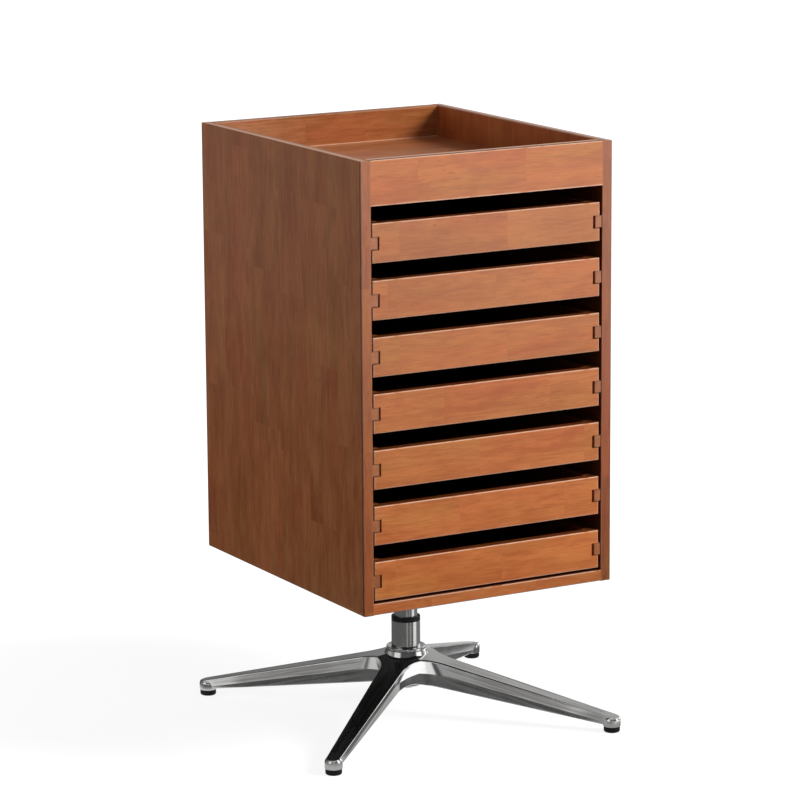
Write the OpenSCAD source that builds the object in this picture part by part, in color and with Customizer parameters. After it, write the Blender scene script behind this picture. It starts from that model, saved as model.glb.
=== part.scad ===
// Rotary filing cabinet: a wooden case holding seven open trays on side runners,
// with a recessed top, turning on a column that stands on a four-arm cast base.
// Millimetres, +Z up, front towards -Y, origin on the floor on the swivel axis.

/* [Case] */
// Outside width of the case
case_w = 400; // [350:1:460]
// Outside depth of the case, front to back
case_d = 472; // [420:1:540]
// Height of the case's underside above the floor
case_lift = 226; // [190:1:280]
// Thickness of each side panel
side_panel_t = 16; // [14:0.5:22]
// Thickness of the bottom panel
bottom_panel_t = 16; // [14:0.5:22]
// Thickness of the back panel
back_panel_t = 16; // [14:0.5:22]
// Thickness of the front rail
rail_t = 18; // [14:0.5:24]
// Thickness of the floor of the recessed top
top_floor_t = 16; // [14:0.5:22]
// Depth of the recess in the top
recess_depth = 46; // [30:1:70]
// Rounding of the case's outer edges
edge_round = 2; // [0.5:0.25:4]
// Diameter of the dowels that join the case
dowel_d = 8; // [6:0.5:9]
// Length of the dowels that join the case
dowel_len = 30; // [24:1:36]
// Depth of each dowel hole in a side panel
dowel_in_side = 10; // [8:0.5:12]
// Distance of the outermost dowels from a board's end
dowel_inset = 40; // [30:1:60]
// Glue gap around each dowel
dowel_gap = 0.1; // [0.05:0.05:0.2]

/* [Trays] */
// Height of a tray
tray_h = 54.5; // [46:0.5:70]
// Open gap above each tray
finger_gap = 23.5; // [15:0.5:35]
// Gap between the lowest tray and the bottom panel
lowest_gap = 4; // [2:0.5:10]
// Gap between a tray front's end and the side panel
tray_side_gap = 3.25; // [2:0.25:5]
// Distance of the tray fronts behind the case's front edges
tray_setback = 0.5; // [0:0.25:3]
// Gap between a tray's back end and the back panel
tray_rear_gap = 6; // [4:1:20]
// Thickness of the tray fronts
tray_front_t = 16; // [12:0.5:20]
// Wood left between the runner groove and the inside of a tray
tray_side_web = 7; // [6:0.5:10]
// Thickness of the tray backs
tray_back_t = 10; // [8:0.5:16]
// Thickness of a tray's bottom sheet
tray_bottom_t = 5; // [3:0.5:6]
// Height of the bottom sheet above a tray's lower edge
tray_bottom_rise = 6; // [5:0.5:9]
// Depth of the grooves that hold the bottom sheet
bottom_groove = 5; // [3:0.5:5.5]
// Gap around the bottom sheet in its grooves
bottom_gap = 0.2; // [0.1:0.05:0.4]
// Rounding of the tray edges
tray_round = 1.5; // [0.5:0.25:3]

/* [Runners] */
// How far a runner stands out from the side panel
runner_w = 11; // [8:0.5:14]
// Height of a runner
runner_h = 17; // [12:0.5:22]
// Distance of the runner ends behind the case's front edges
runner_setback = 1; // [0:0.25:4]
// Rounding of the runner edges
runner_round = 1; // [0.25:0.25:2]
// Clearance between a runner's face and the bottom of its groove
runner_face_gap = 1.25; // [0.75:0.25:3]
// Clearance between the top of a runner and its groove
runner_top_gap = 0.3; // [0.3:0.1:1]
// Clearance between the underside of a runner and its groove
runner_under_gap = 0.9; // [0.4:0.1:2]
// Gap left on the side that the loose trays lean towards
tray_lean_gap = 0.35; // [0.3:0.05:0.7]
// Extra depth of the notches through the tray fronts
notch_extra = 2; // [0:0.5:4]
// Diameter of the runner screws
runner_screw_d = 3.5; // [3:0.5:4.5]
// Length of the runner screws
runner_screw_len = 20; // [16:0.5:22]
// Distance of the end screws from the ends of a runner
runner_screw_inset = 45; // [30:1:80]

/* [Base] */
// Angle of the first arm from +X
base_turn = 41.5; // [0:0.5:90]
// Distance from the swivel axis to the centre of a foot
foot_circle_r = 311; // [280:1:360]
// Distance from the axis at which the arm's root sizes are given
arm_root_r = 60; // [55:1:75]
// Width of an arm over its upper edges at the root
arm_top_w_root = 36.6; // [30:0.2:42]
// Width of an arm over its upper edges at the foot
arm_top_w_tip = 20.6; // [17:0.2:22]
// Height of an arm's top face at the root
arm_top_z_root = 84.1; // [80:0.1:88]
// Height of an arm's top face over the foot
arm_top_z_tip = 24.4; // [23:0.1:27]
// Softening of the arms' upper edges
arm_edge = 2; // [0.6:0.2:2.4]
// Width of an arm at the foot of its skirt, at the root
skirt_w_root = 20; // [16:0.5:26]
// Width of an arm at the foot of its skirt, at the tip
skirt_w_tip = 17.6; // [15:0.2:20]
// Height of the skirt at the root
skirt_h_root = 20.5; // [17:0.5:24]
// Height of the skirt at the tip
skirt_h_tip = 11.6; // [9:0.2:12.4]
// Width of the keel under an arm at the root
keel_w_root = 10.2; // [8:0.2:14]
// Width of the keel under an arm at the foot
keel_w_tip = 17.2; // [13:0.2:17.4]
// Height of the keel at the root
keel_z_root = 42.1; // [38:0.1:46]
// Height of the keel at the foot, over the lower face of the foot's boss
keel_rise = 1.2; // [1:0.1:2.5]
// Softening of the keels' lower edges
keel_edge = 1.6; // [0.6:0.2:2]
// Distance from the axis to the crotch between two arms, at the top
crotch_top_r = 46.5; // [44:0.5:52]
// Distance from the axis to the crotch at the foot of the skirt
crotch_skirt_r = 44; // [42:0.5:50]
// Distance from the axis to the crotch between two keels
crotch_keel_r = 25; // [23:0.5:32]
// Diameter of the boss over each foot
foot_boss_d = 25.2; // [24:0.2:28]
// Height at which the boss starts to round in towards the arm's top
foot_boss_shoulder_z = 17; // [15:0.5:18.5]
// Rounding of the boss's shoulder
foot_boss_round = 8.6; // [7.6:0.2:10]
// Softening of the boss's lower edge
foot_boss_edge = 0.6; // [0.4:0.1:1.2]
// Depth of the boss's top below the arm's top face
foot_boss_drop = 0.3; // [0.2:0.1:1]
// Diameter of the glide pads
glide_d = 23.4; // [20:0.2:26]
// Height of the glide pads
glide_h = 8; // [6:0.5:8.5]
// Rounding of the glide pads' lower edge
glide_round = 2.5; // [1:0.25:4]
// Gap between a glide pad and the boss over it
glide_gap = 0.5; // [0.3:0.1:1]
// Diameter of the glide studs
stud_d = 6; // [5:0.5:8]
// Length of a glide stud above the pad
stud_len = 9; // [7:0.5:11]

/* [Column] */
// Diameter of the raised ring round the hub, at its foot
hub_ring_d = 64; // [62:0.5:67]
// Diameter of the raised ring at its top
hub_ring_d_top = 59.6; // [58:0.2:61]
// Height of the top of the raised ring
hub_ring_z = 98.5; // [96:0.5:100]
// Height of the foot of the raised ring's leaning side
hub_ring_foot_z = 90; // [87:0.5:90.5]
// Rounding of the raised ring
hub_ring_round = 1.2; // [0.6:0.2:1.8]
// Height of the hub's underside
hub_under_z = 66.5; // [64:0.5:69]
// Height of the floor of the hub's bore
hub_floor_z = 72; // [70:0.5:74]
// Length of the stub's hole under the hub's bore
hub_web_t = 22; // [19:0.5:23]
// Diameter of the boss under the hub
under_boss_d = 43; // [40:0.5:48]
// Rounding of the boss under the hub
under_boss_round = 2; // [1:0.5:3]
// Diameter of the pocket under the hub
under_pocket_d = 32; // [28:1:36]
// Depth of the pocket under the hub
under_pocket_h = 7; // [6:0.5:10]
// Outside diameter of the column tube
column_d = 42; // [41:0.5:46]
// Wall of the column tube
column_wall = 2.5; // [2:0.25:2.75]
// Height of the top of the column tube
column_top_z = 140.5; // [134:0.5:160]
// Diameter of the flange ring round the column's foot
flange_d = 57; // [54:0.5:59]
// Height of the flange ring
flange_h = 4; // [3.5:0.25:6]
// Rounding of the flange ring
flange_round = 1; // [0.5:0.25:1.5]
// Width of the rim round the flange ring's dished top
flange_rim = 2; // [1.5:0.25:3]
// Depth of the dish in the flange ring's top
flange_dish = 1; // [0.5:0.25:2]
// Height of the upper bush's collar above the tube
collar_h = 6.8; // [5:0.2:12]
// Rounding of the collar
collar_round = 1; // [0.5:0.25:2]
// Length of the upper bush inside the tube
upper_bush_len = 24; // [15:1:30]
// Length of the lower bush
lower_bush_len = 14; // [10:0.5:18]
// Diameter of the swivel tube
swivel_d = 34; // [32:0.5:34]
// Wall of the swivel tube
swivel_wall = 2.75; // [2:0.25:4]
// Radial running clearance in the bushes
bush_run = 0.05; // [0.03:0.01:0.09]
// Radial gap between pieces fixed in one another
seat_gap = 0.05; // [0.02:0.01:0.1]
// Diameter of the plug's stub
stub_d = 12; // [10:0.5:14]
// Diameter of the bearing balls
ball_d = 6; // [5:0.5:7]
// Thickness of a bearing race
race_t = 3.5; // [3:0.25:5]
// Depth of a race's ball track
race_track = 1.2; // [0.8:0.1:1.6]
// Gap between the balls and the turning race
ball_gap = 0.1; // [0.05:0.05:0.2]
// Length of the plug inside the swivel tube
plug_len = 18; // [12:1:24]
// Thickness of the plug's shoulder
plug_shoulder = 3; // [2:0.5:5]
// Thickness of the retaining washer
washer_t = 1.5; // [1:0.25:2]
// Diameter of the retaining washer
washer_d = 26; // [22:0.5:27]
// Thickness of the retaining ring
circlip_t = 1.2; // [1:0.1:1.5]
// Width of the retaining ring
circlip_w = 3; // [2:0.5:4]
// Depth of the stub's groove for the retaining ring
circlip_groove = 1; // [0.6:0.1:1.4]
// Side of the square mounting plate
plate_w = 180; // [150:1:220]
// Thickness of the mounting plate
plate_t = 5; // [4:0.5:8]
// Corner radius of the mounting plate
plate_round = 14; // [6:1:18]
// Distance of the plate screws from the plate's edges
plate_screw_inset = 16; // [14:0.5:24]
// Diameter of the plate screws
plate_screw_d = 5; // [4:0.5:6]
// Depth of the plate screws in the bottom panel
plate_screw_in = 12; // [9:0.5:13]
// Height of the plate screws' heads
plate_head_h = 3; // [2:0.5:4]

/* [Hidden] */
$fn = 64;
// Overlap that lets a cutter run past the surface it cuts
past = 1;
// Number of dowels in a row, and of screws in a runner
board_dowels = 3;
rail_end_dowels = 2;
back_end_dowels = 4;
screws_per_runner = 3;
wood = "sienna";
plywood = "burlywood";
beech = "tan";
alloy = "silver";
steel = "gainsboro";
black = "#1c1c1c";

// The case, from the bottom up
levels = 7;
pitch = tray_h + finger_gap;
floor_z = case_lift + bottom_panel_t;
opening_top_z = floor_z + lowest_gap + levels * pitch;
recess_z = opening_top_z + top_floor_t;
case_top_z = recess_z + recess_depth;
case_h = case_top_z - case_lift;
rail_h = case_top_z - opening_top_z;
inner_w = case_w - 2 * side_panel_t;
front_y = -case_d / 2;
back_y = case_d / 2;
back_face_y = back_y - back_panel_t;

// Dowels: rows at the heights and depths where boards meet the side panels
dowel_out = dowel_len - dowel_in_side;
bottom_row_z = case_lift + bottom_panel_t / 2;
floor_row_z = recess_z - top_floor_t / 2;
floor_front_y = front_y + rail_t;
rail_row_y = front_y + rail_t / 2;
back_row_y = back_y - back_panel_t / 2;
function spread(a, b, n) = [for (i = [0:n - 1]) a + (b - a) * i / (n - 1)];
bottom_dowels = [for (y = spread(front_y + dowel_inset, back_face_y - dowel_inset, board_dowels))
    [y, bottom_row_z]];
floor_dowels = [for (y = spread(floor_front_y + dowel_inset, back_face_y - dowel_inset, board_dowels))
    [y, floor_row_z]];
rail_dowels = [for (z = spread(opening_top_z + rail_h / 4, case_top_z - rail_h / 4, rail_end_dowels))
    [rail_row_y, z]];
back_dowels = [for (z = spread(case_lift + dowel_inset, case_top_z - dowel_inset, back_end_dowels))
    [back_row_y, z]];
all_dowels = concat(bottom_dowels, floor_dowels, rail_dowels, back_dowels);

// Trays and runners, counted from the top down
groove_h = runner_h + runner_top_gap + runner_under_gap;
tray_w = inner_w - 2 * tray_side_gap;
runner_face_x = inner_w / 2 - runner_w;
groove_d = runner_w + runner_face_gap - tray_side_gap;
tray_side_t = groove_d + tray_side_web;
tray_inner_w = tray_w - 2 * tray_side_t;
tray_front_y = front_y + tray_setback;
tray_inner_y = tray_front_y + tray_front_t;
tray_rear_y = back_face_y - tray_rear_gap;
tray_shift = tray_lean_gap - runner_face_gap;
tray_sheet_z = tray_bottom_rise + tray_bottom_t;
runner_len = back_face_y - front_y - runner_setback;
runner_mid = tray_h / 2;
groove_low = runner_mid - runner_h / 2 - runner_under_gap;
function tray_z(i) = opening_top_z - i * pitch;
function runner_z(i) = tray_z(i) + runner_mid;
runner_screw_ys = spread(front_y + runner_setback + runner_screw_inset,
                         back_face_y - runner_screw_inset, screws_per_runner);
screw_head_d = 2 * runner_screw_d;
screw_head_h = runner_screw_d / 2;
screw_sink = 0.5;
// Wood left beyond the tip of a runner screw
screw_cover = 2;
screw_in_panel = min(runner_screw_len - (runner_w - screw_sink), side_panel_t - screw_cover);

// The cast base: each edge line of an arm runs straight from root to foot.
// A level is [width at root, width at foot, height at root, height at foot, crotch radius].
arm_run = foot_circle_r - arm_root_r;
function along(root, tip, x) = root + (tip - root) * (x - arm_root_r) / arm_run;
// Edge line softened by going in by one share of arm_edge and down by another
function top_level(in_share, down_share) = [
    arm_top_w_root - 2 * in_share * arm_edge, arm_top_w_tip - 2 * in_share * arm_edge,
    arm_top_z_root - down_share * arm_edge, arm_top_z_tip - down_share * arm_edge,
    crotch_top_r - in_share * arm_edge
];
skirt_level = [
    skirt_w_root, skirt_w_tip,
    arm_top_z_root - skirt_h_root, arm_top_z_tip - skirt_h_tip,
    crotch_skirt_r
];
arm_levels = [skirt_level, top_level(0, 1), top_level(1 - cos(45), 1 - sin(45)), top_level(1, 0)];
function arm_half(level, x) = along(level[0], level[1], x) / 2;
function arm_z(level, x) = along(level[2], level[3], x);
boss_z = glide_h + glide_gap;
keel_z_tip = boss_z + keel_rise;
// Height by which the keels run up into the arms
keel_lap = 2;
// Keel line softened by going in by one share of keel_edge and up by another
function keel_level(in_share, up_share) = [
    keel_w_root - 2 * in_share * keel_edge, keel_w_tip - 2 * in_share * keel_edge,
    keel_z_root + up_share * keel_edge, keel_z_tip + up_share * keel_edge,
    crotch_keel_r - in_share * keel_edge
];
keel_levels = [
    keel_level(1, 0), keel_level(1 - sin(45), 1 - cos(45)), keel_level(0, 1),
    [keel_w_root, keel_w_tip, skirt_level[2] + keel_lap, skirt_level[3] + keel_lap, crotch_keel_r]
];

// Column heights, from the hub's floor up
column_bore_r = column_d / 2 - column_wall;
// Radial gap between the races and the pieces beside them
race_gap = 0.5;
race_r = column_bore_r - race_gap;
race_bore_r = stub_d / 2 + race_gap;
track_r = (race_r + race_bore_r) / 2;
track_round = ball_d / 2 + ball_gap;
ball_z = hub_floor_z + race_t - race_track + ball_d / 2;
upper_race_z = ball_z + ball_d / 2 + ball_gap - race_track;
plug_z = upper_race_z + race_t;
tube_z = plug_z + plug_shoulder;
plate_z = case_lift - plate_t;
collar_z = column_top_z + collar_h;
// Height of the lower bush above the swivel tube's end
bush_rise = 2;
lower_bush_z = tube_z + bush_rise;
flange_top_z = hub_ring_z + flange_h;
web_z = hub_floor_z - hub_web_t;
// Gap between the stub and its hole, and between the washer and the web
stub_gap = 0.3;
washer_gap = 0.3;
washer_z = web_z - washer_gap - washer_t;
circlip_z = washer_z - circlip_t;
// Length of the stub below its retaining ring
stub_end = 2;
stub_z = circlip_z - stub_end;
under_boss_z = web_z - under_pocket_h;
ball_count = 10;
cage_t = 2;
cage_inset = 1;
plate_screw_at = plate_w / 2 - plate_screw_inset;
// Play of the screws in the plate's holes, and the flat share of their domed heads
plate_hole_gap = 0.5;
head_flat = 0.7;

// ---------------------------------------------------------------- shared forms

// Piece that, taken from a square corner at the origin, leaves a rounding of r
module corner_waste(r) {
    difference() {
        translate([-past, -past]) square(r + past);
        translate([r, r]) circle(r);
    }
}

// Rectangle from the origin to [w, h] with a rounding at each listed corner
module rounded_rect(w, h, r, corners = [[0, 0], [1, 0], [0, 1], [1, 1]]) {
    difference() {
        square([w, h]);
        for (c = corners)
            translate([c[0] * w, c[1] * h])
                mirror([c[0], 0])
                    mirror([0, c[1]])
                        corner_waste(r);
    }
}

// Board lying along X, Y or Z: its end profile is given as a child
module board_x(x, len) {
    translate([x, 0, 0]) rotate([90, 0, 90]) linear_extrude(len) children();
}
module board_y(y, len) {
    translate([0, y + len, 0]) rotate([90, 0, 0]) linear_extrude(len) children();
}
module board_z(z, len) {
    translate([0, 0, z]) linear_extrude(len) children();
}

// Hole or pin along X, centred on x
module pin_x(x, y, z, d, len) {
    translate([x - len / 2, y, z]) rotate([0, 90, 0]) cylinder(d = d, h = len);
}

// Ring between two radii
module ring(r_out, r_in, h) {
    difference() {
        cylinder(r = r_out, h = h);
        translate([0, 0, -past]) cylinder(r = r_in, h = h + 2 * past);
    }
}

module place_feet() {
    for (k = [0:3])
        rotate(base_turn + 90 * k)
            translate([foot_circle_r, 0, 0])
                children();
}

// ---------------------------------------------------------------- case

// Side panel: upright board, rounded along its outer and upper edges
module side_panel(side) {
    x = side < 0 ? -case_w / 2 : case_w / 2 - side_panel_t;
    outer = side < 0 ? 0 : 1;
    face_x = side * inner_w / 2;
    color(wood) difference() {
        intersection() {
            board_z(case_lift, case_h)
                translate([x, front_y])
                    rounded_rect(side_panel_t, case_d, edge_round, [[outer, 0], [outer, 1]]);
            board_y(front_y, case_d)
                translate([x, case_lift])
                    rounded_rect(side_panel_t, case_h, edge_round, [[0, 1], [1, 1], [outer, 0]]);
        }
        for (p = all_dowels)
            pin_x(face_x, p[0], p[1], dowel_d + 2 * dowel_gap, 2 * dowel_in_side + 2 * dowel_gap);
        for (i = [1:levels], y = runner_screw_ys)
            pin_x(face_x, y, runner_z(i), runner_screw_d + 2 * seat_gap, 2 * screw_in_panel + 2 * seat_gap);
    }
}

// Holes for one row of dowels, bored into both ends of a board
module dowel_bores(points) {
    for (side = [-1, 1], p = points)
        pin_x(side * inner_w / 2, p[0], p[1], dowel_d + 2 * dowel_gap, 2 * dowel_out + 2 * dowel_gap);
}

module bottom_panel() {
    color(wood) difference() {
        board_x(-inner_w / 2, inner_w)
            translate([front_y, case_lift])
                rounded_rect(back_face_y - front_y, bottom_panel_t, edge_round, [[0, 0]]);
        dowel_bores(bottom_dowels);
        for (x = [-1, 1], y = [-1, 1])
            translate([x * plate_screw_at, y * plate_screw_at, case_lift - past])
                cylinder(d = plate_screw_d + 2 * seat_gap, h = plate_screw_in + seat_gap + past);
    }
}

module back_panel() {
    color(wood) difference() {
        board_x(-inner_w / 2, inner_w)
            translate([back_face_y, case_lift])
                rounded_rect(back_panel_t, case_h, edge_round, [[0, 1], [1, 1], [1, 0]]);
        dowel_bores(back_dowels);
    }
}

module front_rail() {
    color(wood) difference() {
        board_x(-inner_w / 2, inner_w)
            translate([front_y, opening_top_z])
                rounded_rect(rail_t, rail_h, edge_round, [[0, 1], [1, 1]]);
        dowel_bores(rail_dowels);
    }
}

module top_tray_floor() {
    color(wood) difference() {
        translate([-inner_w / 2, floor_front_y, opening_top_z])
            cube([inner_w, back_face_y - floor_front_y, top_floor_t]);
        dowel_bores(floor_dowels);
    }
}

module carcass_dowels() {
    color(beech)
        for (side = [-1, 1], p = all_dowels)
            pin_x(side * (inner_w / 2 + dowel_in_side - dowel_len / 2), p[0], p[1], dowel_d, dowel_len);
}

// ---------------------------------------------------------------- runners

// Pair of runners of one level, countersunk for their screws
module runners(i) {
    color(wood)
        for (side = [-1, 1])
            difference() {
                board_y(front_y + runner_setback, runner_len)
                    translate([side < 0 ? -inner_w / 2 : runner_face_x, runner_z(i) - runner_h / 2])
                        rounded_rect(runner_w, runner_h, runner_round,
                                     [[(1 - side) / 2, 0], [(1 - side) / 2, 1]]);
                for (y = runner_screw_ys)
                    translate([side * runner_face_x, y, runner_z(i)])
                        rotate([0, side * 90, 0])
                            screw_space();
            }
}

// Countersunk hole along +Z from the runner's face
module screw_space() {
    translate([0, 0, -past]) cylinder(d = runner_screw_d + 2 * seat_gap, h = runner_w + 2 * past);
    translate([0, 0, -past]) cylinder(d = screw_head_d + 2 * seat_gap, h = screw_sink + past);
    translate([0, 0, screw_sink])
        cylinder(d1 = screw_head_d + 2 * seat_gap, d2 = runner_screw_d, h = screw_head_h + seat_gap);
}

module runner_screws() {
    shank = runner_w - screw_sink + screw_in_panel;
    color(steel)
        for (side = [-1, 1], i = [1:levels], y = runner_screw_ys)
            translate([side * runner_face_x, y, runner_z(i)])
                rotate([0, side * 90, 0])
                    translate([0, 0, screw_sink])
                        rotate_extrude($fn = 24)
                            polygon([
                                [0, 0], [screw_head_d / 2, 0], [runner_screw_d / 2, screw_head_h],
                                [runner_screw_d / 2, shank], [0, shank]
                            ]);
}

// ---------------------------------------------------------------- trays

// Tray front: one board, notched at both ends where the runners pass
module tray_front(i) {
    notch_d = groove_d + notch_extra;
    color(wood)
        translate([tray_shift, 0, tray_z(i)])
            difference() {
                intersection() {
                    board_x(-tray_w / 2, tray_w)
                        translate([tray_front_y, 0])
                            rounded_rect(tray_front_t, tray_h, tray_round);
                    board_z(0, tray_h)
                        translate([-tray_w / 2, tray_front_y])
                            rounded_rect(tray_w, tray_front_t, tray_round, [[0, 0], [1, 0]]);
                }
                for (side = [-1, 1])
                    translate([side < 0 ? -tray_w / 2 - past : tray_w / 2 - notch_d,
                               tray_front_y - past, groove_low])
                        cube([notch_d + past, tray_front_t + 2 * past, groove_h]);
                translate([-tray_inner_w / 2 - bottom_groove, tray_inner_y - bottom_groove, tray_bottom_rise])
                    cube([tray_inner_w + 2 * bottom_groove, bottom_groove + past, tray_bottom_t]);
            }
}

// Tray sides: C-shaped section, grooved outside for the runner and inside for the bottom
module tray_sides(i) {
    color(wood)
        translate([tray_shift, 0, tray_z(i)])
            for (side = [0, 1])
                mirror([side, 0, 0])
                    board_y(tray_inner_y, tray_rear_y - tray_inner_y)
                        translate([-tray_w / 2, 0])
                            difference() {
                                rounded_rect(tray_side_t, tray_h, tray_round);
                                translate([-past, groove_low]) square([groove_d + past, groove_h]);
                                translate([tray_side_t - bottom_groove, tray_bottom_rise])
                                    square([bottom_groove + past, tray_bottom_t]);
                            }
}

// Tray back: stands on the bottom sheet, between the sides
module tray_back(i) {
    color(wood)
        translate([tray_shift, 0, tray_z(i)])
            board_x(-tray_inner_w / 2, tray_inner_w)
                translate([tray_rear_y - tray_back_t, tray_sheet_z])
                    rounded_rect(tray_back_t, tray_h - tray_sheet_z, tray_round, [[0, 1], [1, 1]]);
}

// Tray bottom: a sheet held in the grooves of the front and sides
module tray_bottom(i) {
    reach = bottom_groove - bottom_gap;
    color(plywood)
        translate([tray_shift - tray_inner_w / 2 - reach, tray_inner_y - reach, tray_z(i) + tray_bottom_rise])
            cube([tray_inner_w + 2 * reach, tray_rear_y - tray_inner_y + reach, tray_bottom_t]);
}

// ---------------------------------------------------------------- cast base

// Half of one edge line of the star, from a crotch to an arm's nose: an arc
// tangent to the arm's edge, the straight edge, and the rounded nose.
// Each point is [x, y, z] with x along the arm.
crotch_steps = 8;
edge_steps = 6;
nose_steps = 10;
function arm_taper(level) = atan((arm_half(level, 0) - arm_half(level, foot_circle_r)) / foot_circle_r);
function corner_r(level) = arm_half(level, 0) / (sin(45) + tan(arm_taper(level)) * cos(45));
function crotch_round(level) = (level[4] - corner_r(level)) / (1 / sin(45 + arm_taper(level)) - 1);

function half_line(level) =
    let (
        round_r = crotch_round(level),
        centre = level[4] + round_r,
        sweep = 45 - arm_taper(level),
        arc = [for (s = [0:crotch_steps])
            let (a = 225 + sweep * s / crotch_steps)
            [centre * cos(45) + round_r * cos(a), centre * sin(45) + round_r * sin(a)]],
        start_x = arc[crotch_steps][0],
        edge = [for (s = [1:edge_steps])
            let (x = start_x + (foot_circle_r - start_x) * s / edge_steps)
            [x, arm_half(level, x)]],
        nose_r = arm_half(level, foot_circle_r),
        nose = [for (s = [1:nose_steps])
            let (a = 90 - 90 * s / nose_steps)
            [foot_circle_r + nose_r * cos(a), nose_r * sin(a)]]
    )
    [for (p = concat(arc, edge, nose)) [p[0], p[1], arm_z(level, p[0])]];

function turned(p, a) = [p[0] * cos(a) - p[1] * sin(a), p[0] * sin(a) + p[1] * cos(a), p[2]];

// Whole closed edge line of one level, anticlockwise
function star_line(level) =
    let (
        up = half_line(level),
        n = len(up),
        arm = concat([for (k = [0:n - 1]) [up[k][0], -up[k][1], up[k][2]]], [for (k = [n - 2:-1:1]) up[k]])
    )
    [for (quarter = [0:3], p = arm) turned(p, 90 * quarter)];

// Star-shaped solid: the edge lines of its levels joined by bands, closed above
// and below by fans from the axis, which follow the sloping faces exactly
module star_solid(levels) {
    lines = [for (level = levels) star_line(level)];
    n = len(lines[0]);
    top = len(levels) - 1;
    axis_low = len(levels) * n;
    points = concat([for (line = lines, p = line) p],
                    [[0, 0, arm_z(levels[0], 0)], [0, 0, arm_z(levels[top], 0)]]);
    bands = [for (level = [0:top - 1], k = [0:n - 1], half = [0, 1])
        let (m = (k + 1) % n, low = level * n, high = low + n)
        half == 0 ? [low + k, high + k, high + m] : [low + k, high + m, low + m]];
    under = [for (k = [0:n - 1]) [axis_low, k, (k + 1) % n]];
    above = [for (k = [0:n - 1]) [axis_low + 1, top * n + (k + 1) % n, top * n + k]];
    polyhedron(points = points, faces = concat(bands, under, above));
}

// Boss over a foot: a drum that rounds in above, where the arm's sloping top cuts it off
module foot_boss() {
    r = foot_boss_d / 2;
    reach = r + past;
    cut_z = arm_top_z_tip - foot_boss_drop;
    fall = reach * (arm_top_z_root - arm_top_z_tip) / arm_run;
    intersection() {
        rotate_extrude() {
            difference() {
                translate([0, boss_z]) square([r, foot_boss_shoulder_z - boss_z]);
                translate([r, boss_z]) mirror([1, 0]) corner_waste(foot_boss_edge);
            }
            translate([0, foot_boss_shoulder_z]) square([r - foot_boss_round, foot_boss_round]);
            translate([r - foot_boss_round, foot_boss_shoulder_z])
                intersection() {
                    circle(foot_boss_round);
                    square(foot_boss_round);
                }
        }
        rotate([90, 0, 0])
            linear_extrude(2 * reach, center = true)
                polygon([[-reach, 0], [reach, 0], [reach, cut_z - fall], [-reach, cut_z + fall]]);
    }
}

// Raised ring round the hub: its side leans in to a rounded upper edge
module hub_ring() {
    top_r = hub_ring_d_top / 2;
    rotate_extrude() {
        polygon([
            [0, hub_under_z], [hub_ring_d / 2, hub_under_z], [hub_ring_d / 2, hub_ring_foot_z],
            [top_r, hub_ring_z - hub_ring_round], [top_r - hub_ring_round, hub_ring_z], [0, hub_ring_z]
        ]);
        translate([top_r - hub_ring_round, hub_ring_z - hub_ring_round]) circle(hub_ring_round);
    }
}

module base_casting() {
    color(alloy) difference() {
        union() {
            rotate(base_turn) {
                star_solid(arm_levels);
                star_solid(keel_levels);
            }
            hub_ring();
            translate([0, 0, hub_floor_z + under_boss_z])
                mirror([0, 0, 1])
                    rounded_drum(under_boss_d / 2, under_boss_z, hub_floor_z, under_boss_round);
            place_feet() foot_boss();
        }
        translate([0, 0, hub_floor_z]) cylinder(r = column_d / 2 + seat_gap, h = case_lift);
        translate([0, 0, web_z - past]) cylinder(r = stub_d / 2 + stub_gap, h = hub_web_t + 2 * past);
        translate([0, 0, under_boss_z - past]) cylinder(d = under_pocket_d, h = under_pocket_h + past);
        place_feet()
            translate([0, 0, boss_z - past])
                cylinder(r = stud_d / 2 + seat_gap, h = stud_len + past);
    }
}

// Drum between two heights with its upper edge rounded
module rounded_drum(r, z0, z1, round_r) {
    rotate_extrude() {
        translate([0, z0]) square([r, z1 - z0 - round_r]);
        translate([0, z0]) square([r - round_r, z1 - z0]);
        translate([r - round_r, z1 - round_r]) circle(round_r);
    }
}

module glide_pads() {
    r = glide_d / 2;
    color(black)
        place_feet()
            difference() {
                rotate_extrude()
                    difference() {
                        square([r, glide_h]);
                        translate([r, 0]) mirror([1, 0]) corner_waste(glide_round);
                    }
                translate([0, 0, glide_h / 2]) cylinder(r = stud_d / 2 + seat_gap, h = glide_h);
            }
}

module glide_studs() {
    color(steel)
        place_feet()
            translate([0, 0, glide_h / 2 + seat_gap])
                cylinder(d = stud_d, h = glide_h / 2 + glide_gap + stud_len - 3 * seat_gap);
}

// ---------------------------------------------------------------- column

module column_tube() {
    color(steel)
        translate([0, 0, hub_floor_z])
            ring(column_d / 2, column_bore_r, column_top_z - hub_floor_z);
}

// Flange ring: its top is dished down towards the tube, inside a raised rim
module column_flange() {
    dish_r = flange_d / 2 - flange_rim;
    tube_r = column_d / 2;
    color(alloy) difference() {
        rounded_drum(flange_d / 2, hub_ring_z, flange_top_z, flange_round);
        translate([0, 0, hub_ring_z - past]) cylinder(r = tube_r + seat_gap, h = flange_h + 2 * past);
        translate([0, 0, flange_top_z - flange_dish]) cylinder(r1 = tube_r, r2 = dish_r, h = flange_dish);
        translate([0, 0, flange_top_z]) cylinder(r = dish_r, h = past);
    }
}

// Upper bush: a collar on the tube's end and a sleeve inside it
module upper_bush() {
    color(black) difference() {
        union() {
            rounded_drum(column_d / 2, column_top_z, collar_z, collar_round);
            translate([0, 0, column_top_z - upper_bush_len])
                cylinder(r = column_bore_r - seat_gap, h = upper_bush_len + past);
        }
        translate([0, 0, column_top_z - upper_bush_len - past])
            cylinder(r = swivel_d / 2 + bush_run, h = upper_bush_len + collar_h + 2 * past);
    }
}

module lower_bush() {
    color(black)
        translate([0, 0, lower_bush_z])
            ring(column_bore_r - seat_gap, swivel_d / 2 + bush_run, lower_bush_len);
}

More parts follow.
